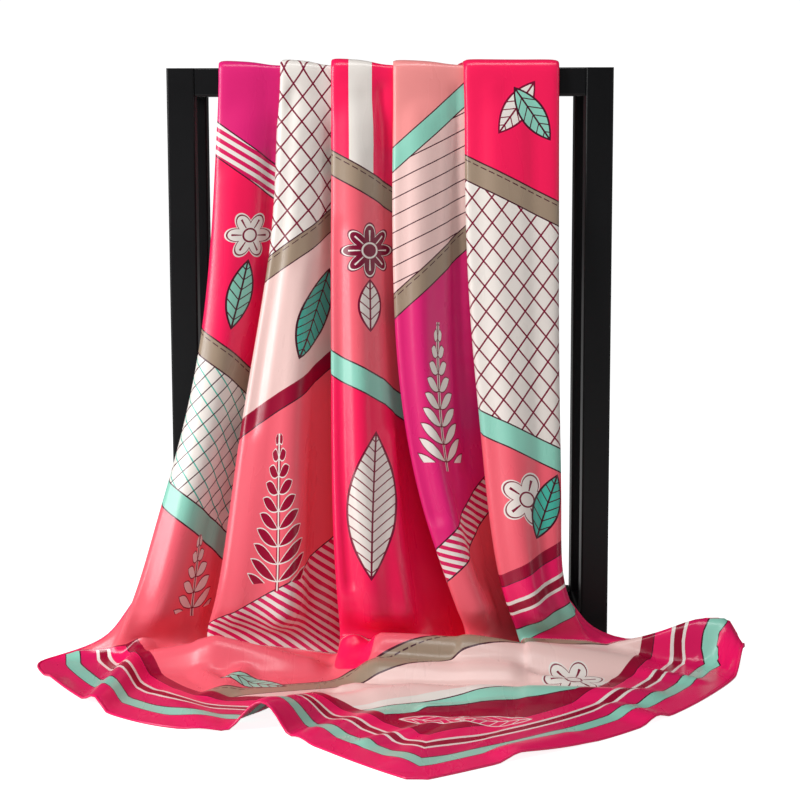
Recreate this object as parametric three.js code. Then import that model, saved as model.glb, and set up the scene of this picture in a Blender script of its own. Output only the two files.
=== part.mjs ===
import * as THREE from 'three';

// Millimetres, +Z up, the front towards -Y. The tables below have y = 0 at the front faces of the
// stand. The finished part has its origin under the middle of the stand's low front bar.

// Stand: a box frame of square tube
const STAND_WIDTH = 400;
const STAND_DEPTH = 140;
const STAND_HEIGHT = 530;
const TUBE = 25;
const TUBE_EDGE_RADIUS = 2;
const WELD_GAP = 0.3;

// Scarf: a thin wall that follows one smooth sheet. The trim is the slit between two stretches,
// as a share of the step between two rows of control points.
const CLOTH_WALL = 1.2;
const SEAM_TRIM = 0.015;
const FLOOR_CLEARANCE = 0.3;

// Five folds, counted from the left, and how far each stands out against the others
const FOLD_REACH = [0.86, 1.0, 1.12, 0.92, 1.0];
const FULL_FACE = 0.7;
const MOST_LAP = 0.42;

// The hanging cloth, a row for each level of its path from the floor up, over both bars and down
// the back. y and z place the layer nearest the stand. lean is the way the cloth faces, 0 forwards,
// 90 up, 180 backwards. back, reach and layer are distances out from there: the hindmost layer,
// the fold fronts and the step between two layers. shoulder is the height of the cloth where it
// turns under the next fold. lap is the length hidden there, turn the edge turned in at each side.
// a to e are the left edges of the folds, f is the right side of the last one. third and fourth
// are the shares of those two folds that face forwards, before they turn in to a hollow.
const HANG = [
  { y: -40, z: 12, lean: 40, back: 3, reach: 32, layer: 7, shoulder: 0.3, lap: 4, turn: -16,
    a: -243, b: -167, c: -46, d: 68, e: 113, f: 172, third: 0.6, fourth: 0.55 },
  { y: -34, z: 38, lean: 12, back: 3, reach: 43, layer: 9, shoulder: 0.3, lap: 14, turn: -5,
    a: -237, b: -161, c: -47, d: 61, e: 106, f: 165, third: 0.6, fourth: 0.5 },
  { y: -29, z: 75, lean: 5, back: 3, reach: 45, layer: 10, shoulder: 0.32, lap: 20, turn: 8,
    a: -224, b: -153, c: -50, d: 49, e: 95, f: 151, third: 0.6, fourth: 0.46 },
  { y: -20, z: 135, lean: 3, back: 2.6, reach: 40, layer: 9, shoulder: 0.34, lap: 24, turn: 20,
    a: -208, b: -145, c: -53, d: 28, e: 86, f: 153, third: 0.62, fourth: 0.48 },
  { y: -13, z: 205, lean: 2, back: 2.4, reach: 32, layer: 8, shoulder: 0.32, lap: 26, turn: 26,
    a: -187, b: -136, c: -54, d: 12, e: 80, f: 152, third: 0.68, fourth: 0.56 },
  { y: -8, z: 285, lean: 2, back: 2.2, reach: 24, layer: 6, shoulder: 0.28, lap: 27, turn: 28,
    a: -170, b: -122, c: -54, d: 3, e: 72, f: 151, third: 0.74, fourth: 0.66 },
  { y: -5, z: 370, lean: 1, back: 2, reach: 17, layer: 4.5, shoulder: 0.2, lap: 28, turn: 28,
    a: -161, b: -107, c: -54, d: 1, e: 67, f: 151, third: 0.74, fourth: 0.7 },
  { y: -2, z: 440, lean: 1, back: 2, reach: 12, layer: 3.5, shoulder: 0.12, lap: 28, turn: 28,
    a: -157, b: -102, c: -53, d: 1, e: 66, f: 151, third: 0.72, fourth: 0.7 },
  { y: -0.4, z: 490, lean: 0, back: 1.9, reach: 8.4, layer: 2.8, shoulder: 0.04, lap: 28, turn: 28,
    a: -154, b: -100, c: -53, d: 2, e: 66, f: 151, third: 0.7, fourth: 0.7 },
  { y: 0, z: 516, lean: 0, back: 1.8, reach: 7, layer: 2.6, shoulder: 0, lap: 28, turn: 28,
    a: -153, b: -98, c: -53, d: 2, e: 65, f: 151, third: 0.7, fourth: 0.7 },
  { y: 0.2, z: 527, lean: 12, back: 1.8, reach: 7, layer: 2.6, shoulder: 0, lap: 28, turn: 28,
    a: -153, b: -98, c: -53, d: 2, e: 65, f: 151, third: 0.7, fourth: 0.7 },
  { y: 0.6, z: 530.4, lean: 55, back: 2, reach: 7, layer: 2.6, shoulder: 0, lap: 28, turn: 28,
    a: -153, b: -98, c: -53, d: 2, e: 65, f: 151, third: 0.7, fourth: 0.7 },
  { y: 5, z: 530.2, lean: 86, back: 1.8, reach: 7, layer: 2.6, shoulder: 0, lap: 28, turn: 28,
    a: -153, b: -98, c: -53, d: 2, e: 65, f: 151, third: 0.7, fourth: 0.7 },
  { y: 20, z: 530, lean: 90, back: 1.8, reach: 7, layer: 2.6, shoulder: 0, lap: 28, turn: 28,
    a: -153, b: -98, c: -53, d: 2, e: 65, f: 151, third: 0.7, fourth: 0.7 },
  { y: 55, z: 528.5, lean: 91, back: 1.8, reach: 7, layer: 2.6, shoulder: 0, lap: 28, turn: 28,
    a: -152, b: -97, c: -52, d: 3, e: 65, f: 150, third: 0.7, fourth: 0.7 },
  { y: 90, z: 528.5, lean: 89, back: 1.8, reach: 7, layer: 2.6, shoulder: 0, lap: 27, turn: 26,
    a: -151, b: -96, c: -51, d: 3, e: 65, f: 149, third: 0.7, fourth: 0.7 },
  { y: 120, z: 530, lean: 90, back: 1.8, reach: 7, layer: 2.6, shoulder: 0, lap: 26, turn: 24,
    a: -150, b: -95, c: -50, d: 3, e: 64, f: 148, third: 0.7, fourth: 0.7 },
  { y: 135, z: 530.2, lean: 94, back: 1.8, reach: 7, layer: 2.6, shoulder: 0, lap: 26, turn: 24,
    a: -150, b: -95, c: -50, d: 3, e: 64, f: 148, third: 0.7, fourth: 0.7 },
  { y: 139.4, z: 530.4, lean: 125, back: 2, reach: 7, layer: 2.6, shoulder: 0, lap: 25, turn: 23,
    a: -149, b: -94, c: -50, d: 3, e: 64, f: 147, third: 0.7, fourth: 0.7 },
  { y: 139.8, z: 527, lean: 168, back: 1.8, reach: 7, layer: 2.6, shoulder: 0, lap: 25, turn: 22,
    a: -149, b: -94, c: -49, d: 3, e: 63, f: 147, third: 0.7, fourth: 0.7 },
  { y: 140.2, z: 512, lean: 180, back: 1.8, reach: 7.8, layer: 2.7, shoulder: 0.05, lap: 23, turn: 20,
    a: -146, b: -92, c: -48, d: 3, e: 62, f: 144, third: 0.7, fourth: 0.7 },
  { y: 142, z: 470, lean: 179, back: 2, reach: 12, layer: 3.4, shoulder: 0.15, lap: 15, turn: 14,
    a: -132, b: -83, c: -43, d: 4, e: 57, f: 130, third: 0.65, fourth: 0.65 },
  { y: 144, z: 420, lean: 179, back: 2, reach: 13, layer: 3, shoulder: 0.25, lap: 3, turn: 2,
    a: -108, b: -67, c: -34, d: 4, e: 47, f: 108, third: 0.65, fourth: 0.65 },
  { y: 146, z: 370, lean: 179, back: 2, reach: 6, layer: 0.8, shoulder: 0.4, lap: 0, turn: -6,
    a: -70, b: -44, c: -21, d: 4, e: 33, f: 74, third: 0.55, fourth: 0.55 },
  { y: 147, z: 325, lean: 179, back: 2, reach: 2.8, layer: 0.1, shoulder: 0.5, lap: 0, turn: -6,
    a: -40, b: -26, c: -12, d: 3, e: 19, f: 42, third: 0.5, fourth: 0.5 },
  { y: 148, z: 268, lean: 179, back: 2, reach: 2.05, layer: 0.02, shoulder: 0.5, lap: 0, turn: -3,
    a: -14, b: -9, c: -4, d: 2, e: 8, f: 16, third: 0.5, fourth: 0.5 },
];

// The cloth on the floor, a row for each line across it, from the front corner back to the folds.
// Each line runs from the left hem by its middle to the right hem. swell is the height of the
// folds that run on into it, gather how far they are drawn together.
const POOL = [
  { leftX: 16, leftY: -389, midY: -390, rightX: 24, rightY: -389, swell: 0, gather: 0 },
  { leftX: -8, leftY: -366, midY: -362, rightX: 52, rightY: -372, swell: 0, gather: 0 },
  { leftX: -40, leftY: -330, midY: -334, rightX: 93, rightY: -343, swell: 0, gather: 0 },
  { leftX: -70, leftY: -292, midY: -299, rightX: 136, rightY: -317, swell: 0.5, gather: 0 },
  { leftX: -103, leftY: -260, midY: -262, rightX: 183, rightY: -281, swell: 1, gather: 0.05 },
  { leftX: -146, leftY: -268, midY: -228, rightX: 222, rightY: -240, swell: 1.5, gather: 0.1 },
  { leftX: -196, leftY: -253, midY: -195, rightX: 254, rightY: -199, swell: 2, gather: 0.15 },
  { leftX: -243, leftY: -213, midY: -164, rightX: 279, rightY: -160, swell: 3, gather: 0.25 },
  { leftX: -278, leftY: -161, midY: -136, rightX: 300, rightY: -124, swell: 2, gather: 0.35 },
  { leftX: -306, leftY: -106, midY: -112, rightX: 314, rightY: -90, swell: 4, gather: 0.35 },
  { leftX: -326, leftY: -62, midY: -93, rightX: 324, rightY: -60, swell: 6, gather: 0.6 },
  { leftX: -308, leftY: -42, midY: -77, rightX: 312, rightY: -42, swell: 15, gather: 0.9 },
];

// Soft ridges of the cloth on the floor, each from one point to another in plan
const RIDGES = [
  { name: 'hem arch', x1: -103, y1: -264, x2: -60, y2: -190, rise1: 38, rise2: 8, width: 36 },
  { name: 'left crease', x1: -222, y1: -60, x2: -246, y2: -200, rise1: 16, rise2: 12, width: 26 },
  { name: 'left edge', x1: -300, y1: -120, x2: -250, y2: -210, rise1: 4, rise2: 3, width: 20 },
  { name: 'left back', x1: -222, y1: -80, x2: -156, y2: -88, rise1: 14, rise2: 36, width: 28 },
  { name: 'left back low', x1: -156, y1: -88, x2: -76, y2: -92, rise1: 36, rise2: 14, width: 28 },
  { name: 'middle back', x1: -8, y1: -93, x2: 62, y2: -92, rise1: 36, rise2: 36, width: 28 },
  { name: 'right back', x1: 62, y1: -92, x2: 212, y2: -80, rise1: 36, rise2: 12, width: 28 },
  { name: 'front ridge', x1: -60, y1: -192, x2: 20, y2: -170, rise1: 7, rise2: 11, width: 30 },
  { name: 'front ridge right', x1: 20, y1: -170, x2: 214, y2: -172, rise1: 11, rise2: 6, width: 30 },
  { name: 'right flap', x1: 206, y1: -52, x2: 262, y2: -46, rise1: 14, rise2: 34, width: 26 },
  { name: 'right tip', x1: 262, y1: -46, x2: 300, y2: -52, rise1: 34, rise2: 44, width: 26 },
  { name: 'right lip', x1: 300, y1: -52, x2: 316, y2: -100, rise1: 44, rise2: 12, width: 24 },
];

// Places of the folds across a line on the floor, as shares of its length
const SPREAD = { a: 0.1, b: 0.235, c: 0.425, d: 0.605, e: 0.69, f: 0.785 };
const EDGES = ['a', 'b', 'c', 'd', 'e', 'f'];

// Control points of one fold on the floor: their shares of its width while open and while drawn
// together, and how far each rises with the fold (out) or with the next one (next)
const FOLD_STEPS = [
  { open: 0.18, drawn: 0.34, out: 0.95, next: 0 },
  { open: 0.36, drawn: 0.68, out: 0.7, next: 0 },
  { open: 0.5, drawn: 0.88, out: 0.3, next: 0 },
  { open: 0.6, drawn: 0.98, out: 0.1, next: 0 },
  { open: 0.69, drawn: 1.01, out: 0.05, next: 0 },
  { open: 0.77, drawn: 1.01, out: 0.05, next: 0.05 },
  { open: 0.84, drawn: 1, out: 0, next: 0.3 },
  { open: 0.92, drawn: 0.99, out: 0, next: 0.7 },
  { open: 1, drawn: 1, out: 0, next: 1 },
];
const FOLD_SWELL = [0.7, 0.5, 1, 0.6, 0.6];

// Columns of the wall's mesh over one fold, in control points from its left edge: three in each
// tight turn, the rest on its faces
const MESH_STEPS = [0.4, 1.1, 1.8, 2.5, 3.3, 4.1, 4.8, 5.5, 6.2, 7, 7.8, 8.5];

const STEEL = { colour: 0x17171a, roughness: 0.28, metalness: 0.4 };
const SILK = { colour: 0xe8376b, roughness: 0.42, metalness: 0 };

const group = new THREE.Group();

function addMesh(geometry, name, finish) {
  geometry.translate(0, -TUBE / 2, 0);
  const material = new THREE.MeshStandardMaterial({
    color: finish.colour,
    roughness: finish.roughness,
    metalness: finish.metalness,
    side: THREE.FrontSide,
  });
  const mesh = new THREE.Mesh(geometry, material);
  mesh.name = name;
  group.add(mesh);
}

// A square tube with rounded long edges, centred on its own axis along z
function tubeGeometry(length) {
  const half = TUBE / 2;
  const r = TUBE_EDGE_RADIUS;
  const outline = new THREE.Shape();
  outline.absarc(half - r, half - r, r, 0, Math.PI / 2, false);
  outline.absarc(r - half, half - r, r, Math.PI / 2, Math.PI, false);
  outline.absarc(r - half, r - half, r, Math.PI, 1.5 * Math.PI, false);
  outline.absarc(half - r, r - half, r, 1.5 * Math.PI, 2 * Math.PI, false);
  const options = { depth: length, steps: 1, bevelEnabled: false, curveSegments: 4 };
  const geometry = new THREE.ExtrudeGeometry(outline, options);
  geometry.translate(0, 0, -length / 2);
  return geometry;
}

function addBar(name, axis, length, x, y, z) {
  const geometry = tubeGeometry(length);
  if (axis === 'x') geometry.rotateY(Math.PI / 2);
  if (axis === 'y') geometry.rotateX(Math.PI / 2);
  geometry.translate(x, y, z);
  addMesh(geometry, name, STEEL);
}

function addStand() {
  const sideX = (STAND_WIDTH - TUBE) / 2;
  const frontY = TUBE / 2;
  const rearY = STAND_DEPTH - TUBE / 2;
  const topZ = STAND_HEIGHT - TUBE / 2;
  const lowZ = TUBE / 2;
  const across = STAND_WIDTH - 2 * TUBE - 2 * WELD_GAP;
  const along = STAND_DEPTH - 2 * TUBE - 2 * WELD_GAP;
  for (const [side, x] of [['left', -sideX], ['right', sideX]]) {
    addBar(`post_front_${side}`, 'z', STAND_HEIGHT, x, frontY, STAND_HEIGHT / 2);
    addBar(`post_rear_${side}`, 'z', STAND_HEIGHT, x, rearY, STAND_HEIGHT / 2);
    addBar(`side_bar_top_${side}`, 'y', along, x, STAND_DEPTH / 2, topZ);
    addBar(`side_bar_low_${side}`, 'y', along, x, STAND_DEPTH / 2, lowZ);
  }
  addBar('bar_top_front', 'x', across, 0, frontY, topZ);
  addBar('bar_top_rear', 'x', across, 0, rearY, topZ);
  addBar('bar_low_front', 'x', across, 0, frontY, lowZ);
  addBar('bar_low_rear', 'x', across, 0, rearY, lowZ);
}

// One hanging level as control points across the cloth: how far sideways, how far out. The
// points of a tight turn stand a quarter layer beyond it, which keeps its two layers apart.
function hangSection(level) {
  const points = [];
  const { back, layer, turn } = level;
  const fronts = FOLD_REACH.map((share) => level.reach * share);
  const loose = 1 - THREE.MathUtils.clamp(turn / 15, 0, 1);
  points.push([level.a + turn, fronts[0] - (1.6 + 1.4 * loose) * layer]);
  points.push([level.a + 0.6 * turn, fronts[0] - (1.3 + 0.9 * loose) * layer]);
  points.push([level.a + 0.2 * turn, fronts[0] - (1.1 + 0.5 * loose) * layer]);
  points.push([level.a, fronts[0] - 1.25 * layer]);
  points.push([level.a, fronts[0] + 0.25 * layer]);
  for (let fold = 0; fold < 4; fold += 1) {
    const x = level[EDGES[fold]];
    const next = level[EDGES[fold + 1]];
    const width = next - x;
    const front = fronts[fold];
    const nextFront = fronts[fold + 1];
    const shoulder = back + level.shoulder * (front - back);
    const lap = Math.min(level.lap, MOST_LAP * (level[EDGES[fold + 2]] - next));
    const face = [FULL_FACE, FULL_FACE, level.third, level.fourth][fold];
    const across = [
      x + 0.4 * face * width,
      x + 0.86 * face * width,
      x + (face + 0.15) * width,
      next + 0.5 * lap,
      next + lap,
      next + lap,
      next + 0.5 * lap,
      next,
      next,
    ];
    const out = [
      front,
      front - 0.25 * (front - shoulder),
      shoulder,
      back,
      back - 0.25 * layer,
      back + 1.25 * layer,
      0.5 * (back + nextFront),
      nextFront - 1.25 * layer,
      nextFront + 0.25 * layer,
    ];
    FOLD_STEPS.forEach(({ open }, step) => {
      points.push([lap > 0 ? across[step] : x + open * width, out[step]]);
    });
  }
  const lastWidth = level.f - level.e;
  points.push([level.e + 0.3 * lastWidth, fronts[4]]);
  points.push([level.e + 0.7 * lastWidth, fronts[4] * 0.97]);
  points.push([level.f, fronts[4] * 0.94 + 0.25 * layer]);
  points.push([level.f, fronts[4] * 0.94 - 1.25 * layer]);
  points.push([level.f - 0.2 * turn, fronts[4] * 0.94 - (1.1 + 0.5 * loose) * layer]);
  points.push([level.f - 0.6 * turn, fronts[4] * 0.94 - (1.3 + 0.9 * loose) * layer]);
  points.push([level.f - turn, fronts[4] * 0.94 - (1.6 + 1.4 * loose) * layer]);
  return points;
}

function hangRow(level) {
  const lean = THREE.MathUtils.degToRad(level.lean);
  const outY = -Math.cos(lean);
  const outZ = Math.sin(lean);
  return hangSection(level).map(([x, out]) => [x, level.y + out * outY, level.z + out * outZ]);
}

// Shares across a line on the floor, one for each control point of a section. gather, 0 to 1,
// draws each fold's points together at the next fold's edge, as they are in the hanging cloth.
function poolShares(gather) {
  const shares = [0, 0.03, 0.055, 0.08, SPREAD.a];
  for (let fold = 0; fold < 4; fold += 1) {
    const start = SPREAD[EDGES[fold]];
    const width = SPREAD[EDGES[fold + 1]] - start;
    FOLD_STEPS.forEach(({ open, drawn }) => {
      shares.push(start + width * (open + gather * (drawn - open)));
    });
  }
  const width = SPREAD.f - SPREAD.e;
  shares.push(SPREAD.e + width / 3, SPREAD.e + (2 * width) / 3, SPREAD.f);
  shares.push(0.84, 0.9, 0.955, 1);
  return shares;
}

// Height of the folds' swell at each control point, as shares
function poolSwells() {
  const swells = [0, 0, 0.1, 0.3, FOLD_SWELL[0]];
  for (let fold = 0; fold < 4; fold += 1) {
    for (const { out, next } of FOLD_STEPS) {
      swells.push(out * FOLD_SWELL[fold] + next * FOLD_SWELL[fold + 1]);
    }
  }
  return [...swells, 0.5, 0.5, 0.4, 0.2, 0, 0, 0];
}

function ridgeHeight(x, y) {
  let height = 0;
  for (const ridge of RIDGES) {
    const dx = ridge.x2 - ridge.x1;
    const dy = ridge.y2 - ridge.y1;
    const along = ((x - ridge.x1) * dx + (y - ridge.y1) * dy) / (dx * dx + dy * dy);
    const t = THREE.MathUtils.clamp(along, 0, 1);
    const away = Math.hypot(x - ridge.x1 - t * dx, y - ridge.y1 - t * dy) / ridge.width;
    const rise = ridge.rise1 + t * (ridge.rise2 - ridge.rise1);
    if (away < 1) height = Math.max(height, rise * (1 - away * away) ** 2);
  }
  return height;
}

function poolRow(line) {
  const swells = poolSwells();
  return poolShares(line.gather).map((share, column) => {
    const x = line.leftX + share * (line.rightX - line.leftX);
    const side = 2 * share - 1;
    const endY = side < 0 ? line.leftY : line.rightY;
    const y = line.midY + (endY - line.midY) * side * side;
    const lift = FLOOR_CLEARANCE + CLOTH_WALL / 2 + 0.4;
    return [x, y, lift + ridgeHeight(x, y) + line.swell * swells[column]];
  });
}

const NET = [...POOL.map(poolRow), ...HANG.map(hangRow)];

// Weights of four neighbouring control points of an even cubic spline
function splineWeights(t) {
  const s = 1 - t;
  return [
    s ** 3 / 6,
    (3 * t ** 3 - 6 * t ** 2 + 4) / 6,
    (3 * s ** 3 - 6 * s ** 2 + 4) / 6,
    t ** 3 / 6,
  ];
}

function sheetPoint(row, column) {
  const lastRow = NET.length - 1;
  const lastColumn = NET[0].length - 1;
  const r = Math.min(Math.floor(row), lastRow - 1);
  const c = Math.min(Math.floor(column), lastColumn - 1);
  const rowWeights = splineWeights(row - r);
  const columnWeights = splineWeights(column - c);
  const point = new THREE.Vector3();
  for (let i = 0; i < 4; i += 1) {
    const line = NET[THREE.MathUtils.clamp(r + i - 1, 0, lastRow)];
    for (let j = 0; j < 4; j += 1) {
      const [x, y, z] = line[THREE.MathUtils.clamp(c + j - 1, 0, lastColumn)];
      const weight = rowWeights[i] * columnWeights[j];
      point.x += weight * x;
      point.y += weight * y;
      point.z += weight * z;
    }
  }
  return point;
}

function sheetNormal(row, column) {
  const step = 0.02;
  const lastRow = NET.length - 1;
  const lastColumn = NET[0].length - 1;
  const alongRow = sheetPoint(row, Math.min(column + step, lastColumn));
  alongRow.sub(sheetPoint(row, Math.max(column - step, 0)));
  const upPath = sheetPoint(Math.min(row + step, lastRow), column);
  upPath.sub(sheetPoint(Math.max(row - step, 0), column));
  return alongRow.cross(upPath).normalize();
}

function meshColumns() {
  const columns = [0, 1, 2, 2.8, 3.5];
  const firstFold = 4;
  const pointsPerFold = FOLD_STEPS.length;
  for (let fold = 0; fold < 4; fold += 1) {
    for (const step of MESH_STEPS) columns.push(firstFold + fold * pointsPerFold + step);
  }
  const lastFold = firstFold + 4 * pointsPerFold;
  for (const step of [0.5, 1.2, 1.9, 2.6, 3.5, 4.3, 5, 6, 7]) columns.push(lastFold + step);
  return columns;
}

// A closed wall over part of the sheet, between two lines of its path
function clothGeometry(firstRow, lastRow, rowCount) {
  const columns = meshColumns();
  const columnCount = columns.length - 1;
  const positions = [];
  for (const side of [0.5, -0.5]) {
    for (let i = 0; i <= rowCount; i += 1) {
      const row = firstRow + ((lastRow - firstRow) * i) / rowCount;
      for (const column of columns) {
        const point = sheetPoint(row, column);
        point.addScaledVector(sheetNormal(row, column), side * CLOTH_WALL);
        positions.push(point.x, point.y, point.z);
      }
    }
  }
  const width = columnCount + 1;
  const layer = (rowCount + 1) * width;
  const indices = [];
  const quad = (a, b, c, d) => indices.push(a, b, c, a, c, d);
  for (let i = 0; i < rowCount; i += 1) {
    for (let j = 0; j < columnCount; j += 1) {
      const a = i * width + j;
      const b = a + 1;
      const c = b + width;
      const d = a + width;
      quad(a, b, c, d);
      quad(layer + a, layer + d, layer + c, layer + b);
    }
  }
  for (let j = 0; j < columnCount; j += 1) {
    const top = rowCount * width + j;
    quad(layer + j, layer + j + 1, j + 1, j);
    quad(top, top + 1, layer + top + 1, layer + top);
  }
  for (let i = 0; i < rowCount; i += 1) {
    const left = i * width;
    const right = left + columnCount;
    quad(left, left + width, layer + left + width, layer + left);
    quad(layer + right, layer + right + width, right + width, right);
  }
  const geometry = new THREE.BufferGeometry();
  geometry.setAttribute('position', new THREE.Float32BufferAttribute(positions, 3));
  geometry.setIndex(indices);
  geometry.computeVertexNormals();
  return geometry;
}

// The four stretches, a row for each: where it starts and ends on the path, and its mesh
function addScarf() {
  const foot = POOL.length - 0.5;
  const front = POOL.length + 9;
  const rear = POOL.length + 20;
  const end = NET.length - 1;
  const stretches = [
    { name: 'floor_pool', from: 0, to: foot, rows: 15 },
    { name: 'front_folds', from: foot, to: front, rows: 13 },
    { name: 'top_run', from: front, to: rear, rows: 12 },
    { name: 'back_fall', from: rear, to: end, rows: 8 },
  ];
  for (const stretch of stretches) {
    const from = stretch.from === 0 ? 0 : stretch.from + SEAM_TRIM;
    const to = stretch.to === end ? end : stretch.to - SEAM_TRIM;
    addMesh(clothGeometry(from, to, stretch.rows), stretch.name, SILK);
  }
}

addStand();
addScarf();

export default group;
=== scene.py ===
import math

import bpy
import numpy as np
from mathutils import Matrix


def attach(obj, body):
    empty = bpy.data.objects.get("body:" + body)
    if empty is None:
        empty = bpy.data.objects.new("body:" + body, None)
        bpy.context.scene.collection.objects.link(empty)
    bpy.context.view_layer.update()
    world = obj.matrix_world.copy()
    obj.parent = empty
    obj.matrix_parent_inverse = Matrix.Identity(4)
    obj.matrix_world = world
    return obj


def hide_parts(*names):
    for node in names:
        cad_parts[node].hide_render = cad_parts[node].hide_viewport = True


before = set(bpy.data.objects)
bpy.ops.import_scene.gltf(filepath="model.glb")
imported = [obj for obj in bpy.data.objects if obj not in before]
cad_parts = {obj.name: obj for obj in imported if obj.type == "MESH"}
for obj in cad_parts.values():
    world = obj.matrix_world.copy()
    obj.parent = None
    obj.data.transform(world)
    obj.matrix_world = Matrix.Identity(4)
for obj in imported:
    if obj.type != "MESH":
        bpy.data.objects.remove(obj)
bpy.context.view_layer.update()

# Studio: a white floor that runs far back, one broad soft light from the upper left, a weaker
# one from the right and a strip above, as for a catalogue picture. Floor and walls look white but
# give little light. The camera stands 1.9 m in front, half a metre up, and looks a little down.


def new_material(name):
    """A material with nodes, and its Principled shader."""
    material = bpy.data.materials.new(name)
    material.use_nodes = True
    return material, material.node_tree.nodes["Principled BSDF"]


def new_piece(name, points, faces, material):
    """A smooth mesh piece from its points in metres and its faces."""
    mesh = bpy.data.meshes.new(name)
    mesh.from_pydata(points.tolist(), [], faces.tolist())
    mesh.polygons.foreach_set("use_smooth", np.ones(len(faces), bool))
    mesh.materials.append(material)
    piece = bpy.data.objects.new(name, mesh)
    bpy.context.scene.collection.objects.link(piece)
    return piece


floor_paper, paper = new_material("floor_paper")
paper.inputs["Base Color"].default_value = (0.7, 0.7, 0.7, 1)
paper.inputs["Roughness"].default_value = 0.9
paper.inputs["Emission Color"].default_value = (1, 1, 1, 1)
from_camera = floor_paper.node_tree.nodes.new("ShaderNodeLightPath")
glow = floor_paper.node_tree.nodes.new("ShaderNodeMapRange")
glow.inputs["To Min"].default_value = 0.1
glow.inputs["To Max"].default_value = 0.9
floor_paper.node_tree.links.new(from_camera.outputs["Is Camera Ray"], glow.inputs["Value"])
floor_paper.node_tree.links.new(glow.outputs["Result"], paper.inputs["Emission Strength"])
floor_corners = np.array([(-5, -3, 0), (5, -3, 0), (5, 4, 0), (-5, 4, 0)], float)
floor = new_piece("floor", floor_corners, np.array([(0, 1, 2, 3)]), floor_paper)

world = bpy.data.worlds.new("studio")
world.use_nodes = True
world_nodes, world_links = world.node_tree.nodes, world.node_tree.links
backdrop = world_nodes["Background"]
backdrop.inputs["Color"].default_value = (1, 1, 1, 1)
ray = world_nodes.new("ShaderNodeLightPath")
soft_light = world_nodes.new("ShaderNodeMapRange")
soft_light.inputs["To Min"].default_value = 0.06
soft_light.inputs["To Max"].default_value = 0.16
white_wall = world_nodes.new("ShaderNodeMix")
white_wall.inputs["B"].default_value = 1.05
world_links.new(ray.outputs["Is Diffuse Ray"], soft_light.inputs["Value"])
world_links.new(soft_light.outputs["Result"], white_wall.inputs["A"])
world_links.new(ray.outputs["Is Camera Ray"], white_wall.inputs["Factor"])
world_links.new(white_wall.outputs["Result"], backdrop.inputs["Strength"])
scene = bpy.context.scene
scene.world = world
scene.view_settings.view_transform = "Standard"

# name, watts, width, height, place and target in metres
SOFTBOXES = [
    ("key_left", 41, 0.45, 1.3, (-1.7, -0.95, 1.1), (0, -0.1, 0.25)),
    ("fill_right", 3.5, 0.3, 1.4, (1.7, -0.9, 0.8), (0, -0.1, 0.25)),
    ("strip_above", 7, 1.0, 0.25, (0.1, -0.5, 1.7), (0, -0.2, 0.0)),
]
for name, watts, width, height, place, target in SOFTBOXES:
    lamp = bpy.data.lights.new(name, "AREA")
    lamp.shape = "RECTANGLE"
    lamp.energy = watts
    lamp.size = width
    lamp.size_y = height
    softbox = bpy.data.objects.new(name, lamp)
    aim = np.array(target) - np.array(place)
    aim /= np.linalg.norm(aim)
    turn = math.atan2(aim[0], aim[1])
    tilt = math.acos(-aim[2])
    softbox.location = place
    softbox.rotation_euler = (tilt, 0, -turn)
    scene.collection.objects.link(softbox)

lens = bpy.data.cameras.new("camera")
lens.lens = 92.69
lens.sensor_width = 36
camera = bpy.data.objects.new("camera", lens)
camera.matrix_world = (
    Matrix.Translation((0.00905, -1.874, 0.49507))
    @ Matrix.Rotation(0.00046, 4, "Z")
    @ Matrix.Rotation(math.radians(90) - 0.14122, 4, "X")
    @ Matrix.Rotation(-0.00233, 4, "Z")
)
scene.collection.objects.link(camera)
scene.camera = camera

# Stand: a box frame of 25 mm square steel tube, lacquered satin black. Its welded bars come from
# the frame as they are. The lacquer has a faint orange peel and slightly greyer, rubbed patches.

lacquer, shader = new_material("black_lacquer")
nodes, links = lacquer.node_tree.nodes, lacquer.node_tree.links
place = nodes.new("ShaderNodeTexCoord")
patches = nodes.new("ShaderNodeTexNoise")
patches.inputs["Scale"].default_value = 9
patches.inputs["Detail"].default_value = 6
links.new(place.outputs["Object"], patches.inputs["Vector"])
tint = nodes.new("ShaderNodeMix")
tint.data_type = "RGBA"
tint.inputs["A"].default_value = (0.003, 0.003, 0.0035, 1)
tint.inputs["B"].default_value = (0.007, 0.007, 0.008, 1)
links.new(patches.outputs["Fac"], tint.inputs["Factor"])
links.new(tint.outputs["Result"], shader.inputs["Base Color"])
shader.inputs["Specular IOR Level"].default_value = 0.3
polish = nodes.new("ShaderNodeMapRange")
polish.inputs["To Min"].default_value = 0.3
polish.inputs["To Max"].default_value = 0.42
links.new(patches.outputs["Fac"], polish.inputs["Value"])
links.new(polish.outputs["Result"], shader.inputs["Roughness"])
peel = nodes.new("ShaderNodeTexNoise")
peel.inputs["Scale"].default_value = 900
links.new(place.outputs["Object"], peel.inputs["Vector"])
relief = nodes.new("ShaderNodeBump")
relief.inputs["Strength"].default_value = 0.05
relief.inputs["Distance"].default_value = 0.0005
links.new(peel.outputs["Fac"], relief.inputs["Height"])
links.new(relief.outputs["Normal"], shader.inputs["Normal"])
cloth_nodes = ("floor_pool", "front_folds", "top_run", "back_fall")
for name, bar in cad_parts.items():
    if name not in cloth_nodes:
        bar.data.materials.clear()
        bar.data.materials.append(lacquer)

# Scarf: a 900 mm silk twill square with one corner to the front. It lies on the floor, rises in
# five folds, passes over both top bars and falls down the back. The tables hold millimetres,
# with y = 0 at the front faces of the stand.

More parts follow.
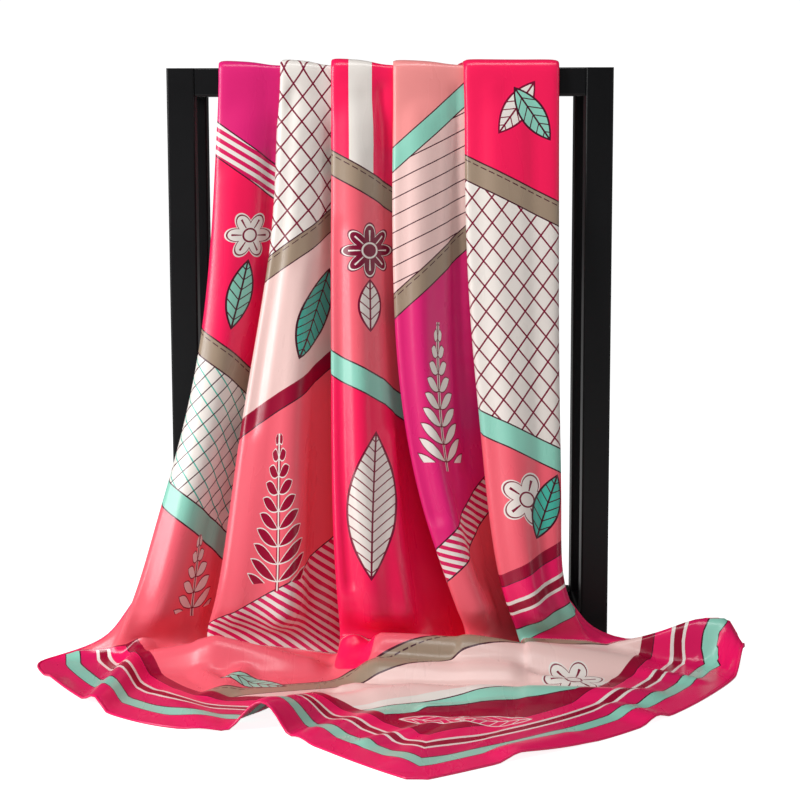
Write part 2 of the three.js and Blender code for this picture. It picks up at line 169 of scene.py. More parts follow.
# The hanging cloth, a row for each level of its path. y and z place the layer nearest the stand,
# lean is the way the cloth faces. back, reach and layer are distances out from there: the
# hindmost layer, the fold fronts, the step between two layers. shoulder is the height where a
# face turns under the next fold, lap the length hidden there, turn the edge turned in at each
# side. a to e are the left edges of the folds, f the right side. third and fourth are the shares
# of those folds that face forwards.
HANG_COLUMNS = "y z lean back reach layer shoulder lap turn a b c d e f third fourth"
HANG = [
    (-40, 12, 40, 3, 32, 7, 0.3, 4, -16, -243, -167, -46, 68, 113, 172, 0.6, 0.55),
    (-34, 38, 12, 3, 43, 9, 0.3, 14, -5, -237, -161, -47, 61, 106, 165, 0.6, 0.5),
    (-29, 75, 5, 3, 45, 10, 0.32, 20, 8, -224, -153, -50, 49, 95, 151, 0.6, 0.46),
    (-20, 135, 3, 2.6, 40, 9, 0.34, 24, 20, -208, -145, -53, 28, 86, 153, 0.62, 0.48),
    (-13, 205, 2, 2.4, 32, 8, 0.32, 26, 26, -187, -136, -54, 12, 80, 152, 0.68, 0.56),
    (-8, 285, 2, 2.2, 24, 6, 0.28, 27, 28, -170, -122, -54, 3, 72, 151, 0.74, 0.66),
    (-5, 370, 1, 2, 17, 4.5, 0.2, 28, 28, -161, -107, -54, 1, 67, 151, 0.74, 0.7),
    (-2, 440, 1, 2, 12, 3.5, 0.12, 28, 28, -157, -102, -53, 1, 66, 151, 0.72, 0.7),
    (-0.4, 490, 0, 1.9, 8.4, 2.8, 0.04, 28, 28, -154, -100, -53, 2, 66, 151, 0.7, 0.7),
    (0, 516, 0, 1.8, 7, 2.6, 0, 28, 28, -153, -98, -53, 2, 65, 151, 0.7, 0.7),
    (0.2, 527, 12, 1.8, 7, 2.6, 0, 28, 28, -153, -98, -53, 2, 65, 151, 0.7, 0.7),
    (0.6, 530.4, 55, 2, 7, 2.6, 0, 28, 28, -153, -98, -53, 2, 65, 151, 0.7, 0.7),
    (5, 530.2, 86, 1.8, 7, 2.6, 0, 28, 28, -153, -98, -53, 2, 65, 151, 0.7, 0.7),
    (20, 530, 90, 1.8, 7, 2.6, 0, 28, 28, -153, -98, -53, 2, 65, 151, 0.7, 0.7),
    (55, 528.5, 91, 1.8, 7, 2.6, 0, 28, 28, -152, -97, -52, 3, 65, 150, 0.7, 0.7),
    (90, 528.5, 89, 1.8, 7, 2.6, 0, 27, 26, -151, -96, -51, 3, 65, 149, 0.7, 0.7),
    (120, 530, 90, 1.8, 7, 2.6, 0, 26, 24, -150, -95, -50, 3, 64, 148, 0.7, 0.7),
    (135, 530.2, 94, 1.8, 7, 2.6, 0, 26, 24, -150, -95, -50, 3, 64, 148, 0.7, 0.7),
    (139.4, 530.4, 125, 2, 7, 2.6, 0, 25, 23, -149, -94, -50, 3, 64, 147, 0.7, 0.7),
    (139.8, 527, 168, 1.8, 7, 2.6, 0, 25, 22, -149, -94, -49, 3, 63, 147, 0.7, 0.7),
    (140.2, 512, 180, 1.8, 7.8, 2.7, 0.05, 23, 20, -146, -92, -48, 3, 62, 144, 0.7, 0.7),
    (142, 470, 179, 2, 12, 3.4, 0.15, 15, 14, -132, -83, -43, 4, 57, 130, 0.65, 0.65),
    (144, 420, 179, 2, 13, 3, 0.25, 3, 2, -108, -67, -34, 4, 47, 108, 0.65, 0.65),
    (146, 370, 179, 2, 6, 0.8, 0.4, 0, -6, -70, -44, -21, 4, 33, 74, 0.55, 0.55),
    (147, 325, 179, 2, 2.8, 0.1, 0.5, 0, -6, -40, -26, -12, 3, 19, 42, 0.5, 0.5),
    (148, 268, 179, 2, 2.05, 0.02, 0.5, 0, -3, -14, -9, -4, 2, 8, 16, 0.5, 0.5),
]
FOLD_REACH = (0.86, 1.0, 1.12, 0.92, 1.0)
FULL_FACE = 0.7
MOST_LAP = 0.42

# The cloth on the floor, a row for each line across it, from the front corner back to the folds
POOL_COLUMNS = "left_x left_y mid_y right_x right_y swell gather"
POOL = [
    (16, -389, -390, 24, -389, 0, 0),
    (-8, -366, -362, 52, -372, 0, 0),
    (-40, -330, -334, 93, -343, 0, 0),
    (-70, -292, -299, 136, -317, 0.5, 0),
    (-103, -260, -262, 183, -281, 1, 0.05),
    (-146, -268, -228, 222, -240, 1.5, 0.1),
    (-196, -253, -195, 254, -199, 2, 0.15),
    (-243, -213, -164, 279, -160, 3, 0.25),
    (-278, -161, -136, 300, -124, 2, 0.35),
    (-306, -106, -112, 314, -90, 4, 0.35),
    (-326, -62, -93, 324, -60, 3, 0.6),
    (-308, -42, -77, 312, -42, 8, 0.9),
]
FLOOR_LIFT = 1.3

# Ridges and troughs of the cloth on the floor, placed on its surface: name, from x y to x y, the
# rise at both ends, the half width
RIDGES = [
    ("hem arch", -101, -262, -60, -190, 25, 8, 32),
    ("left crease", -222, -60, -246, -200, 13, 10, 20),
    ("left edge", -300, -120, -250, -210, 4, 3, 20),
    ("left back", -222, -80, -156, -88, 12, 30, 26),
    ("left back low", -156, -88, -76, -92, 30, 12, 26),
    ("middle back", -8, -93, 62, -92, 31, 31, 30),
    ("right back", 62, -92, 212, -80, 31, 10, 34),
    ("front ridge", -60, -192, 20, -170, 6, 9, 26),
    ("front ridge right", 20, -170, 214, -172, 9, 5, 26),
    ("right flap", 206, -52, 262, -46, 12, 30, 24),
    ("right tip", 262, -46, 300, -52, 30, 36, 24),
    ("right lip", 300, -52, 316, -100, 36, 12, 20),
    ("left of the arch", -150, -250, -190, -170, 4, 2, 22),
    ("right of the arch", -66, -285, -10, -225, 4, 3, 20),
    ("front corner", 10, -350, 60, -250, 3, 4, 24),
    ("right hem lift", 96, -330, 140, -290, 7, 3, 26),
    ("right hem wave", 214, -240, 190, -210, 5, 4, 22),
    ("middle slope", -10, -116, 100, -114, 15, 13, 34),
    ("long crease", -40, -156, 120, -116, 5, 4, 13),
    ("low crease", 30, -214, 150, -176, 5, 3, 13),
    ("short crease", 110, -120, 190, -146, 5, 3, 12),
    ("front crease", -20, -300, 60, -240, 3, 3, 12),
    ("coral crease", -190, -60, -150, -140, 6, 5, 15),
    ("coral fold", -120, -84, -150, -170, 9, 4, 17),
    ("right hollow", 258, -104, 292, -86, -13, -12, 15),
    ("right crease", 214, -96, 262, -128, 6, 4, 13),
    ("flop", -34, -70, -31, -106, 16, 9, 22),
    ("middle valley", -20, -140, 200, -142, -5, -4, 18),
]

# Control points of one fold on the floor: share of its width while open and while drawn in, how
# far each rises with the fold and with the next one
FOLD_STEPS = np.array(
    [
        (0.18, 0.34, 0.95, 0),
        (0.36, 0.68, 0.7, 0),
        (0.5, 0.88, 0.3, 0),
        (0.6, 0.98, 0.1, 0),
        (0.69, 1.01, 0.05, 0),
        (0.77, 1.01, 0.05, 0.05),
        (0.84, 1, 0, 0.3),
        (0.92, 0.99, 0, 0.7),
        (1, 1, 0, 1),
    ]
)
FOLD_SWELL = (0.7, 0.5, 1, 0.6, 0.6)
SPREAD = (0.1, 0.235, 0.425, 0.605, 0.69, 0.785)


def hanging_net():
    """Control points of the hanging cloth in millimetres, levels by points across it.

    At each level a cross-section zigzags through five folds: from a fold's edge along its face,
    down to the hindmost layer under the next fold, and back up to that fold's edge. It stands
    out from the level's own point along the way that the level leans.
    """
    level = dict(zip(HANG_COLUMNS.split(), np.array(HANG, float).T))
    edges = [level[key] for key in "abcdef"]
    fronts = [share * level["reach"] for share in FOLD_REACH]
    back, layer, turn = level["back"], level["layer"], level["turn"]
    loose = 1 - np.clip(turn / 15, 0, 1)
    full = np.full_like(back, FULL_FACE)
    faces = [full, full, level["third"], level["fourth"]]
    hidden = [(1, 1.6, 1.4), (0.6, 1.3, 0.9), (0.2, 1.1, 0.5)]
    points = [
        (edges[0] + share * turn, fronts[0] - (deep + slack * loose) * layer)
        for share, deep, slack in hidden
    ]
    points += [(edges[0], fronts[0] - 1.25 * layer), (edges[0], fronts[0] + 0.25 * layer)]
    for fold, face in enumerate(faces):
        x, following = edges[fold], edges[fold + 1]
        width = following - x
        front, next_front = fronts[fold], fronts[fold + 1]
        shoulder = back + level["shoulder"] * (front - back)
        lap = np.minimum(level["lap"], MOST_LAP * (edges[fold + 2] - following))
        across = [
            x + 0.4 * face * width,
            x + 0.86 * face * width,
            x + (face + 0.15) * width,
            following + 0.5 * lap,
            following + lap,
            following + lap,
            following + 0.5 * lap,
            following,
            following,
        ]
        out = [
            front,
            front - 0.25 * (front - shoulder),
            shoulder,
            back,
            back - 0.25 * layer,
            back + 1.25 * layer,
            0.5 * (back + next_front),
            next_front - 1.25 * layer,
            next_front + 0.25 * layer,
        ]
        even = [x + share * width for share in FOLD_STEPS[:, 0]]
        points += [
            (np.where(lap > 0, wound, flat), height)
            for wound, flat, height in zip(across, even, out)
        ]
    width = edges[5] - edges[4]
    side = 0.94 * fronts[4]
    points += [(edges[4] + 0.3 * width, fronts[4]), (edges[4] + 0.7 * width, 0.97 * fronts[4])]
    points += [(edges[5], side + 0.25 * layer), (edges[5], side - 1.25 * layer)]
    points += [
        (edges[5] - share * turn, side - (deep + slack * loose) * layer)
        for share, deep, slack in reversed(hidden)
    ]
    across = np.array([point[0] for point in points]).T
    out = np.array([point[1] for point in points]).T
    lean = np.radians(level["lean"])[:, None]
    y = level["y"][:, None] - out * np.cos(lean)
    z = level["z"][:, None] + out * np.sin(lean)
    return np.stack([across, y, z], axis=2)


def ridges(x, y, table):
    """Height of a table of ridges and troughs, each a smooth bump round its own line. Where
    ridges meet the highest counts, and troughs are taken off."""
    high, low = np.zeros_like(x), np.zeros_like(x)
    for _, x1, y1, x2, y2, rise1, rise2, width in table:
        dx, dy = x2 - x1, y2 - y1
        t = np.clip(((x - x1) * dx + (y - y1) * dy) / (dx**2 + dy**2), 0, 1)
        away = np.hypot(x - x1 - t * dx, y - y1 - t * dy) / width
        height = (rise1 + t * (rise2 - rise1)) * np.clip(1 - away**2, 0, None) ** 2
        high, low = np.maximum(high, height), np.minimum(low, height)
    return high + low


def floor_net():
    """Control points of the cloth on the floor in millimetres, lines by points along them.

    Each line is a parabola in plan from the left hem by its middle to the right hem. Its points
    are spread evenly at the front and drawn together at the folds' edges further back.
    """
    line = {
        key: column[:, None]
        for key, column in zip(POOL_COLUMNS.split(), np.array(POOL, float).T)
    }
    opened, drawn, out, following = FOLD_STEPS.T
    shares = [np.tile([0, 0.03, 0.055, 0.08, SPREAD[0]], (len(POOL), 1))]
    swells = [0, 0, 0.1, 0.3, FOLD_SWELL[0]]
    for fold in range(4):
        width = SPREAD[fold + 1] - SPREAD[fold]
        shares.append(SPREAD[fold] + width * (opened + line["gather"] * (drawn - opened)))
        swells.extend(out * FOLD_SWELL[fold] + following * FOLD_SWELL[fold + 1])
    width = SPREAD[5] - SPREAD[4]
    last = [SPREAD[4] + width / 3, SPREAD[4] + 2 * width / 3, SPREAD[5], 0.84, 0.9, 0.955, 1]
    share = np.hstack([*shares, np.tile(last, (len(POOL), 1))])
    swell = np.array([*swells, 0.5, 0.5, 0.4, 0.2, 0, 0, 0])
    x = line["left_x"] + share * (line["right_x"] - line["left_x"])
    side = 2 * share - 1
    end_y = np.where(side < 0, line["left_y"], line["right_y"])
    y = line["mid_y"] + (end_y - line["mid_y"]) * side**2
    z = FLOOR_LIFT + line["swell"] * swell
    return np.stack([x, y, z], axis=2)


def spline_weights(places, count):
    """Weights of an even cubic spline over count points, a row for each place along it."""
    start = np.minimum(np.floor(places), count - 2).astype(int)
    t = places - start
    s = 1 - t
    parts = (s**3, 3 * t**3 - 6 * t**2 + 4, 3 * s**3 - 6 * s**2 + 4, t**3)
    weights = np.zeros((len(places), count))
    for step, part in zip((-1, 0, 1, 2), parts):
        index = np.clip(start + step, 0, count - 1)
        np.add.at(weights, (np.arange(len(places)), index), part / 6)
    return weights


def even_places(net, axis, count, least):
    """Places along one axis of a net, spaced by its length with at least so much to a step."""
    steps = np.linalg.norm(np.diff(net, axis=axis), axis=2).mean(axis=1 - axis) + least
    length = np.concatenate([[0], np.cumsum(steps)])
    return np.interp(np.linspace(0, length[-1], count), length, np.arange(len(length)))


ROWS, COLUMNS = 282, 166
net = np.concatenate([floor_net(), hanging_net()])
row_places = even_places(net, 0, ROWS, 6)
column_places = even_places(net, 1, COLUMNS, 4)
row_weights = spline_weights(row_places, net.shape[0])
column_weights = spline_weights(column_places, net.shape[1])
sheet = np.einsum("ri,ijk,cj->rck", row_weights, net, column_weights)
fade = np.clip(12 - row_places, 0, 1)[:, None]
floor_rise = ridges(sheet[:, :, 0], sheet[:, :, 1], RIDGES) * fade**2 * (3 - 2 * fade)
sheet[:, :, 2] = np.maximum(sheet[:, :, 2] + floor_rise, np.minimum(sheet[:, :, 2], FLOOR_LIFT))
sheet = (sheet - (0, 12.5, 0)) * 0.001


def sheet_normals(points):
    """Unit normals of a grid of points, towards the printed side."""
    normal = np.cross(np.gradient(points, axis=1), np.gradient(points, axis=0))
    return normal / np.linalg.norm(normal, axis=2, keepdims=True)


# The print's places. Each point of the cloth has a fold number (0 to 4, -1 on the floor), a
# place in that fold (across from its left edge, and up the path) and its distance from the hem.
# FOOT is the path from the front corner to the feet of the folds.

FOOT = 0.337
level_steps = np.hypot(*np.diff(np.array(HANG, float)[:, :2], axis=0).T)
level_path = 1000 * FOOT + np.concatenate([[0], np.cumsum(level_steps)])
path_net = np.vstack([floor_net()[:, :, 1] + 392, np.tile(level_path[:, None], net.shape[1])])
up = row_weights @ path_net @ column_weights.T * 0.001
fold = np.clip(np.floor((column_places - 9.5) / 9) + 1, 0, 4).astype(int)
fold_start = np.searchsorted(column_places, 4 + 9 * fold)
steps = np.linalg.norm(np.diff(sheet, axis=1), axis=2)
along = np.hstack([np.zeros((ROWS, 1)), np.cumsum(steps, axis=1)])
on_floor = row_places[:, None] < 11.4
across = np.where(on_floor, sheet[:, :, 0] - 0.03, along - along[:, fold_start])
fold_number = np.where(on_floor, -1.0, fold[None, :])

# Creases down the faces of the folds, where the silk rolls and slackens: fold, from across up to
# across up in mm, the rise at both ends, the half width
CREASES = [
    (0, 18, 0, 10, 420, 5, 1, 15),
    (0, 46, 0, 34, 300, -5, -1, 14),
    (0, 58, 120, 44, 440, -4, -2, 9),
    (0, 64, 10, 50, 180, 3, 1, 10),
    (1, 6, 200, 8, 500, -2, -1.5, 8),
    (1, 14, 0, 10, 470, 3, 1, 12),
    (1, 38, 0, 34, 150, -4, -1, 14),
    (1, 60, 0, 22, 330, 4, 1, 16),
    (1, 84, 60, 40, 420, 3, 1, 9),
    (1, 92, 10, 42, 340, -6, -1, 16),
    (2, 8, 60, 6, 380, -3, -1, 9),
    (2, 20, 10, 15, 500, 4, 1, 13),
    (2, 40, 10, 33, 440, -4, -0.8, 12),
    (2, 48, 200, 44, 500, -3, -2, 9),
    (2, 56, 0, 46, 380, 3, 0.8, 10),
    (3, 8, 120, 10, 440, -3, -1, 10),
    (3, 14, 30, 16, 480, 3, 1, 11),
    (3, 32, 60, 38, 470, -4, -1, 13),
    (3, 50, 160, 56, 500, -3, -2, 10),
    (4, 16, 0, 20, 500, 3, 1, 12),
    (4, 36, 0, 44, 480, -4, -1, 14),
    (4, 54, 0, 64, 440, 3, 0.8, 11),
    (4, 74, 40, 78, 500, -3, -2, 10),
]

# The belly of each fold, in the same columns. All of them fade out where a face turns under the
# next fold.
BELLIES = [
    (0, 34, 0, 25, 464, 7, 2.5, 32),
    (1, 52, 0, 22, 464, 12, 4, 34),
    (2, 44, 0, 26, 464, 12, 4, 34),
    (3, 26, 20, 30, 464, 8, 3.5, 34),
    (4, 34, 0, 44, 464, 9, 3.5, 42),
]
height = (up - FOOT) * 1000
rise = np.zeros_like(up)
for fold_of_crease in range(5):
    for table in (CREASES, BELLIES):
        rows = [(None, *row[1:]) for row in table if row[0] == fold_of_crease]
        rise += ridges(across * 1000, height, rows) * (fold_number == fold_of_crease)
right_edge = np.searchsorted(column_places, np.where(fold == 4, 42, 13 + 9 * fold))
shown = sheet[:, right_edge, 0] - sheet[:, fold_start, 0]
fade = np.clip((shown - across) / 0.014, 0, 1)
rise *= 1.25 * fade**2 * (3 - 2 * fade) * np.clip(height / 30, 0, 1)
sheet = sheet + sheet_normals(sheet) * rise[:, :, None] * 0.001


def distance_to(points, line):
    """Distance of each of a grid of points from the nearest point of a line of points."""
    return np.linalg.norm(points[:, :, None] - line, axis=3).min(axis=2)


front_rows = row_places < 10
back_rows = row_places > 32
beyond = np.linspace(0, 0.12, 25)[:, None]
hem_front = np.concatenate(
    [
        sheet[0],
        sheet[front_rows, 0],
        sheet[front_rows, -1],
        sheet[front_rows, 0][-1] + beyond * (-0.15, 1, 0),
        sheet[front_rows, -1][-1] + beyond * (0.15, 1, 0),
    ]
)
hem_back = np.concatenate([sheet[-1], sheet[back_rows, 0], sheet[back_rows, -1]])
last_foot = 0.088 + 0.894 * (sheet[:, :, 2] - 0.078 - 0.54 * (sheet[:, :, 0] - 0.092))
from_hem = np.where(fold[None, :] == 4, last_foot, 0.1 + up - FOOT)
floor_rows = on_floor[:, 0]
from_hem[floor_rows] = distance_to(sheet[floor_rows], hem_front)
from_hem[back_rows] = distance_to(sheet[back_rows], hem_back)

# Silk twill, printed on its face: stripes, lattices, checks, ribbons and plain fields in pinks,
# coral, white, taupe and mint, with leaves, sprays and flowers, inside a border of fine stripes.


class Amount:
    """A number that varies over the cloth, from a node's output. Its sums and comparisons are
    Math nodes, and a comparison is 1 where it holds and 0 elsewhere."""

    def __init__(self, socket):
        self.socket = socket

    def __add__(self, other):
        return worked_out("ADD", self, other)

    def __sub__(self, other):
        return worked_out("SUBTRACT", self, other)

    def __rsub__(self, other):
        return worked_out("SUBTRACT", other, self)

    def __mul__(self, other):
        return worked_out("MULTIPLY", self, other)

    def __truediv__(self, other):
        return worked_out("DIVIDE", self, other)

    def __gt__(self, other):
        return worked_out("GREATER_THAN", self, other)

    def __lt__(self, other):
        return worked_out("LESS_THAN", self, other)

    def __abs__(self):
        return worked_out("ABSOLUTE", self)

    __radd__ = __add__
    __and__ = __mul__


def worked_out(operation, *values):
    """The amount that one Math node gives for amounts or plain numbers."""
    node = nodes.new("ShaderNodeMath")
    node.operation = operation
    for socket, value in zip(node.inputs, values):
        if isinstance(value, Amount):
            links.new(value.socket, socket)
        else:
            socket.default_value = value
    return Amount(node.outputs[0])


def either_of(one, other):
    return worked_out("MAXIMUM", one, other)


def inked(under, mask, colour):
    """The colour under, with another laid over it where the mask is 1."""
    node = nodes.new("ShaderNodeMix")
    node.data_type = "RGBA"
    links.new(mask.socket, node.inputs["Factor"])
    for socket, value in ((node.inputs["A"], under), (node.inputs["B"], colour)):
        if isinstance(value, str):
            socket.default_value = dye(value)
        else:
            links.new(value, socket)
    return node.outputs["Result"]


# Dyes as they look in sRGB
DYES = {
    "hot pink": (236, 22, 98),
    "red pink": (250, 26, 88),
    "raspberry": (214, 22, 92),
    "magenta": (222, 34, 116),
    "coral": (240, 98, 114),
    "salmon": (240, 146, 144),
    "blush": (238, 202, 196),
    "white": (232, 225, 218),
    "crimson": (152, 2, 48),
    "burgundy": (124, 10, 50),
    "taupe": (158, 138, 118),
    "mint": (142, 208, 188),
    "teal": (72, 182, 162),
    "line": (70, 20, 38),
}


def dye(name):
    """A dye as a linear colour for a shader."""
    srgb = np.array(DYES[name]) / 255
    linear = np.where(srgb <= 0.04045, srgb / 12.92, ((srgb + 0.055) / 1.055) ** 2.4)
    return (*linear, 1)


silk, shader = new_material("printed_silk")
nodes, links = silk.node_tree.nodes, silk.node_tree.links

# In millimetres on the cloth: a is the place across a fold, h the height up the cloth from the
# folds' feet, e the distance from the hem. On the floor a and h run along the plan.
print_map = nodes.new("ShaderNodeUVMap")
print_map.uv_map = "print"
split = nodes.new("ShaderNodeSeparateXYZ")
links.new(print_map.outputs["UV"], split.inputs["Vector"])
a = Amount(split.outputs["X"]) * 1000
h = (Amount(split.outputs["Y"]) - FOOT) * 1000
number = nodes.new("ShaderNodeAttribute")
number.attribute_name = "fold"
fold_at = Amount(number.outputs["Fac"])
hem_distance = nodes.new("ShaderNodeAttribute")
hem_distance.attribute_name = "from_hem"
e = Amount(hem_distance.outputs["Fac"]) * 1000
on_ground = fold_at < -0.5


def lines(place, pitch, width, start=0.0):
    """1 on lines of a width, a pitch apart, and 0 between them."""
    return worked_out("PINGPONG", place - start, pitch / 2) < width / 2


def lattice(ground, first, second, pitch, width, slope):
    """A lattice of two sets of slanting lines, each of its own dye, on a plain ground."""
    one = inked(ground, lines(h + a * slope, pitch, width), first)
    return inked(one, lines(h - a * slope, pitch, width), second)


PATTERNS = {
    "lattice": lattice("white", "burgundy", "burgundy", 22.5, 2.4, 1.3),
    "check": lattice("white", "teal", "line", 17, 1.7, 1.3),
    "ruled": inked("blush", lines(h - a * 0.5, 15, 1.1), "line"),
    "broad stripes": inked("red pink", lines(a, 45, 21, 23), "white"),
    "rope": inked("white", lines(h + a * 0.6, 8, 4), "raspberry"),
}

# Fields from the top down, of the floor (-1) and of each fold: fold, height of the field's top
# edge at the fold's left edge in mm, the edge's slope, the field, and whether a dark line runs
# along its edge. Their edges slope one way and then the other from fold to fold, as a zigzag of
# broad bands.
FIELDS = [
    (-1, 900, 0, "coral", 0),
    (-1, -40, 0.35, "taupe", 1),
    (-1, -62, 0.35, "blush", 1),
    (-1, -128, 0.35, "white", 0),
    (-1, -138, 0.35, "mint", 1),
    (-1, -164, 0.35, "crimson", 1),
    (0, 900, 0, "magenta", 0),
    (0, 470, -0.7, "rope", 1),
    (0, 440, -0.7, "red pink", 1),
    (0, 286, -0.7, "taupe", 1),
    (0, 264, -0.7, "check", 1),
    (0, 150, -0.7, "mint", 1),
    (0, 128, -0.7, "coral", 1),
    (1, 900, 0, "lattice", 0),
    (1, 356, 0.8, "taupe", 1),
    (1, 334, 0.8, "blush", 1),
    (1, 214, 0.8, "crimson", 0),
    (1, 196, 0.8, "coral", 1),
    (1, 22, 0.8, "rope", 1),
    (2, 900, 0, "broad stripes", 0),
    (2, 446, -0.6, "taupe", 1),
    (2, 424, -0.6, "coral", 1),
    (2, 268, -0.6, "mint", 1),
    (2, 246, -0.6, "red pink", 1),
    (3, 900, 0, "salmon", 0),
    (3, 452, 0.9, "mint", 1),
    (3, 430, 0.9, "ruled", 1),
    (3, 322, 0.9, "taupe", 1),
    (3, 300, 0.9, "magenta", 1),
    (3, 92, 0.9, "rope", 1),
    (3, 62, 0.9, "coral", 1),
    (4, 900, 0, "red pink", 0),
    (4, 440, -0.5, "taupe", 1),
    (4, 418, -0.5, "lattice", 1),
    (4, 214, -0.5, "mint", 1),
    (4, 192, -0.5, "coral", 1),
]


def field(name):
    return PATTERNS.get(name, name)


# Motifs: kind, fold, place across and up in mm, turn in degrees, length, width, dye, ink
MOTIFS = [
    ("flower", 0, 30, 372, 0, 44, 6, "white", "burgundy"),
    ("leaf", 0, 30, 350, 172, 62, 22, "mint", "line"),
    ("spray", 0, 52, 34, 12, 72, 38, "white", "burgundy"),
    ("leaf", 1, 34, 262, -14, 82, 30, "teal", "line"),
    ("spray", 1, 42, 62, 6, 134, 50, "crimson", "white"),
    ("flower", 2, 30, 358, 0, 50, 8, "burgundy", "white"),
    ("leaf", 2, 30, 332, 180, 46, 20, "white", "burgundy"),
    ("leaf", 2, 34, 196, 176, 132, 40, "white", "burgundy"),
    ("spray", 3, 26, 168, -4, 126, 44, "white", "burgundy"),
    ("leaf", 4, 24, 462, -36, 56, 22, "white", "burgundy"),
    ("leaf", 4, 70, 456, 34, 56, 22, "mint", "line"),
    ("flower", 4, 30, 136, 0, 50, 5, "white", "burgundy"),
    ("leaf", 4, 60, 158, 156, 62, 24, "teal", "line"),
    ("flower", -1, 128, -72, 10, 56, 6, "white", "burgundy"),
    ("leaf", -1, 40, -196, 80, 64, 26, "hot pink", "white"),
    ("leaf", -1, 22, -196, -80, 64, 26, "hot pink", "white"),
    ("leaf", -1, -120, -88, 74, 62, 24, "mint", "line"),
]


def leaf(along, out, length, width):
    """Almond leaf: its body, and its outline, midrib and slanting veins."""
    middle = along * (2 / length) - 1
    room = (1 - middle * middle) * (width / 2) - out
    veins = lines(along + out * 0.9, 9, 1.3) & (room > 0)
    rim = (room > -0.6) & (room < 1.2)
    return room > -0.6, either_of(either_of(veins, rim), (out < 0.8) & (room > 0))


def spray(along, out, length, width):
    """Stem with pairs of slender leaflets that shorten towards its tip."""
    reach = (1 - along * (1 / length)) * (width / 2) + 2
    inside = (along > 0) & (along < length) & (out < reach)
    step = worked_out("PINGPONG", along - out * 1.1, 8)
    share = out / reach
    spare = share * (1 - share) * 26 - step
    stem = (out < 1.3) & (along > -8) & (along < length)
    body = either_of(inside & (spare > 0), stem)
    return body, either_of(inside & (spare > 0) & (spare < 1.2), (out < 0.5) & stem)


def flower(x, y, size, petals):
    """Open flower: round petals with an outline and a rib each, and a ringed heart."""
    r = worked_out("SQRT", x * x + y * y)
    angle = worked_out("ARCTAN2", y, x)
    lobe = abs(worked_out("COSINE", angle * (petals / 2)))
    room = (lobe * 0.4 + 0.6) * (size / 2) - r
    rim = (room > 1.5) & (room < 2.9)
    rib = (lobe > 0.985) & (r < 0.36 * size)
    heart = abs(r - 0.13 * size) < 0.8
    return room > 0, either_of(either_of(rim, rib & (r > 0.16 * size)), heart)


colour = "crimson"
for number_of_fold in range(-1, 5):
    rows = [row for row in FIELDS if row[0] == number_of_fold]
    design = field(rows[0][3])
    for _, top, slope, name, lined in rows[1:]:
        below = top + a * slope - h
        design = inked(design, below > 0, field(name))
        if lined:
            design = inked(design, abs(below) < 0.7, "line")
        if name == "taupe":
            design = inked(design, (abs(below - 4) < 0.5) & (lines(a, 7, 2) < 0.5), "line")
    colour = inked(colour, fold_at > number_of_fold - 0.5, design)

# On the floor, the end of the middle fold keeps that fold's pink
flop_x, flop_y = (a + 62) / 18, (h + 34) / 27
flop = (flop_x * flop_x + flop_y * flop_y < 1) & on_ground
colour = inked(colour, flop, "red pink")

# Border, from the hem inwards: where each stripe begins in mm, and its dye
BORDER = [
    (0, "hot pink"),
    (24, "line"),
    (25, "mint"),
    (37, "line"),
    (38, "raspberry"),
    (52, "white"),
    (55, "crimson"),
    (62, "white"),
    (65, "hot pink"),
    (79, "line"),
    (80, "crimson"),
]
stripes = nodes.new("ShaderNodeValToRGB")
stripes.color_ramp.interpolation = "CONSTANT"
links.new((e / 100).socket, stripes.inputs["Fac"])
ramp = stripes.color_ramp.elements
for start, name in BORDER[2:]:
    ramp.new(start / 100)
for stop, (start, name) in zip(ramp, BORDER):
    stop.position = start / 100
    stop.color = dye(name)
colour = inked(colour, e < 90, stripes.outputs["Color"])

for kind, number_of_fold, x, y, turn, length, width, fill, ink in MOTIFS:
    cosine, sine = math.cos(math.radians(turn)), math.sin(math.radians(turn))
    out = (a - x) * cosine + (h - y) * sine
    rise = (h - y) * cosine - (a - x) * sine
    if kind == "flower":
        body, drawn = flower(out, rise, length, width)
    elif kind == "leaf":
        body, drawn = leaf(rise, abs(out), length, width)
    else:
        body, drawn = spray(rise, abs(out), length, width)
    here = abs(fold_at - number_of_fold) < 0.5
    colour = inked(inked(colour, body & here, fill), drawn & body & here, ink)

links.new(colour, shader.inputs["Base Color"])

# The satin gloss runs across the threads and varies a little along them. Fine slanting twill ribs
# stand half a millimetre apart.
shader.inputs["Specular IOR Level"].default_value = 0.44
shader.inputs["Anisotropic"].default_value = 0.6
thread = nodes.new("ShaderNodeTangent")
thread.direction_type = "UV_MAP"
thread.uv_map = "print"
links.new(thread.outputs["Tangent"], shader.inputs["Tangent"])
stretched = nodes.new("ShaderNodeMapping")
stretched.inputs["Scale"].default_value = (40, 8, 1)
links.new(print_map.outputs["UV"], stretched.inputs["Vector"])
slubs = nodes.new("ShaderNodeTexNoise")
slubs.inputs["Scale"].default_value = 1
slubs.inputs["Detail"].default_value = 3
links.new(stretched.outputs["Vector"], slubs.inputs["Vector"])
gloss = nodes.new("ShaderNodeMapRange")
gloss.inputs["To Min"].default_value = 0.24
gloss.inputs["To Max"].default_value = 0.32
links.new(slubs.outputs["Fac"], gloss.inputs["Value"])
links.new(gloss.outputs["Result"], shader.inputs["Roughness"])
ribs = worked_out("PINGPONG", a + h, 0.25) * 4
weave = nodes.new("ShaderNodeBump")
weave.inputs["Strength"].default_value = 0.12
weave.inputs["Distance"].default_value = 0.0001
links.new(ribs.socket, weave.inputs["Height"])
links.new(weave.outputs["Normal"], shader.inputs["Normal"])


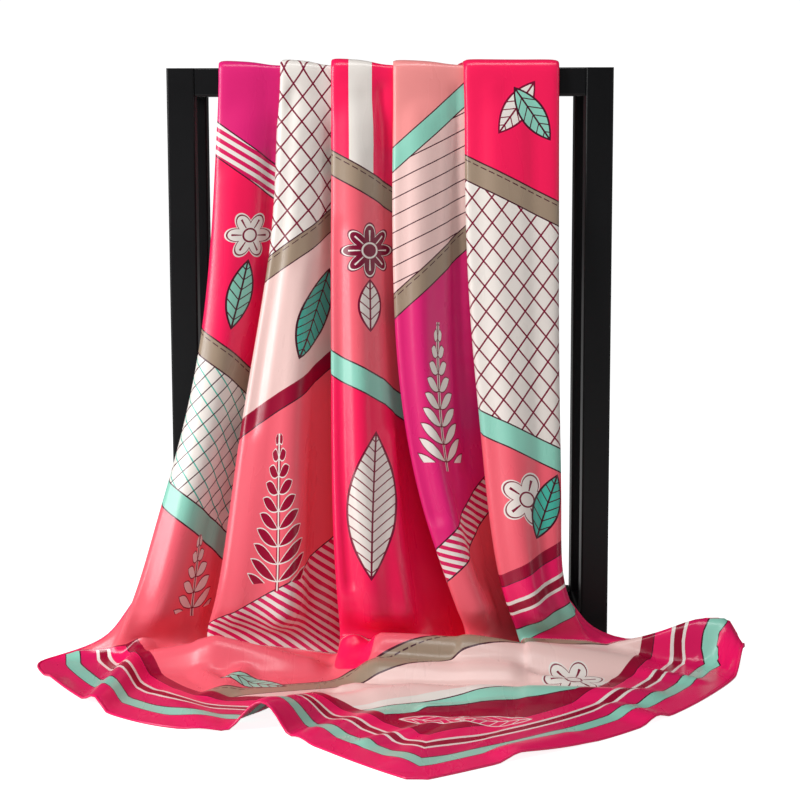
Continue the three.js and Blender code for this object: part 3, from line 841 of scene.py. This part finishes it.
def shell(points, wall):
    """Closed thin wall round a grid of points, as points and faces: both sides and the rim."""
    rows, columns = points.shape[:2]
    normal = sheet_normals(points) * wall / 2
    vertices = np.concatenate([points + normal, points - normal]).reshape(-1, 3)
    index = np.arange(rows * columns).reshape(rows, columns)
    a, b, c, d = index[:-1, :-1], index[:-1, 1:], index[1:, 1:], index[1:, :-1]
    front = np.stack([a, b, c, d], axis=2).reshape(-1, 4)
    back = front[:, [0, 3, 2, 1]] + rows * columns
    rim = np.concatenate([index[0, :-1], index[:-1, -1], index[-1, :0:-1], index[:0:-1, 0]])
    onward = np.roll(rim, -1)
    edge = np.stack([onward, rim, rim + rows * columns, onward + rows * columns], axis=1)
    return vertices, np.concatenate([front, back, edge])


def lay_print(piece, places, fold_numbers, hem_distances):
    """Give each point of a silk piece its place in the print, its fold and its hem distance."""
    corner_points = np.empty(len(piece.data.loops), int)
    piece.data.loops.foreach_get("vertex_index", corner_points)
    uv_map = piece.data.uv_layers.new(name="print")
    uv_map.data.foreach_set("uv", places[corner_points].ravel())
    for name, values in (("fold", fold_numbers), ("from_hem", hem_distances)):
        attribute = piece.data.attributes.new(name, "FLOAT", "POINT")
        attribute.data.foreach_set("value", values)


points, faces = shell(sheet, 0.0005)
scarf = new_piece("scarf", points, faces, silk)
places = np.tile(np.stack([across, up], axis=2).reshape(-1, 2), (2, 1))
lay_print(scarf, places, np.tile(fold_number.ravel(), 2), np.tile(from_hem.ravel(), 2))
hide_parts(*cloth_nodes)
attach(scarf, "root")

# Rolled hem: the edge of the silk, rolled in by hand to a cord of 2.2 mm and slip stitched with
# pink thread. It runs round the whole cloth in the plain pink of the border.

HEM_RADIUS = 0.0011
loop = np.concatenate([sheet[0, :-1], sheet[:-1, -1], sheet[-1, :0:-1], sheet[:0:-1, 0]])
normals = sheet_normals(sheet)
outward = np.concatenate([normals[0, :-1], normals[:-1, -1], normals[-1, :0:-1], normals[:0:-1, 0]])
onward = np.roll(loop, -1, axis=0) - np.roll(loop, 1, axis=0)
onward /= np.linalg.norm(onward, axis=1, keepdims=True)
sideways = np.cross(onward, outward)
sideways /= np.linalg.norm(sideways, axis=1, keepdims=True)
round_angle = np.linspace(0, 2 * np.pi, 8, endpoint=False)[None, :, None]
ring = np.cos(round_angle) * outward[:, None] + np.sin(round_angle) * sideways[:, None]
tube = loop[:, None] + HEM_RADIUS * ring
tube[:, :, 2] = np.maximum(tube[:, :, 2], 0.0001)
index = np.arange(len(loop) * 8).reshape(-1, 8)
after, turned = np.roll(index, -1, axis=0), np.roll(index, -1, axis=1)
quads = np.stack([index, after, np.roll(after, -1, axis=1), turned], axis=2).reshape(-1, 4)
hem = new_piece("rolled_hem", tube.reshape(-1, 3), quads, silk)
run = np.concatenate([[0], np.cumsum(np.linalg.norm(np.diff(loop, axis=0), axis=1))])
hem_places = np.stack(np.broadcast_arrays(round_angle[0, :, 0] * HEM_RADIUS, run[:, None]), axis=2)
one_each = np.ones(len(hem.data.vertices))
lay_print(hem, hem_places.reshape(-1, 2), -2 * one_each, 0.01 * one_each)
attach(hem, "root")
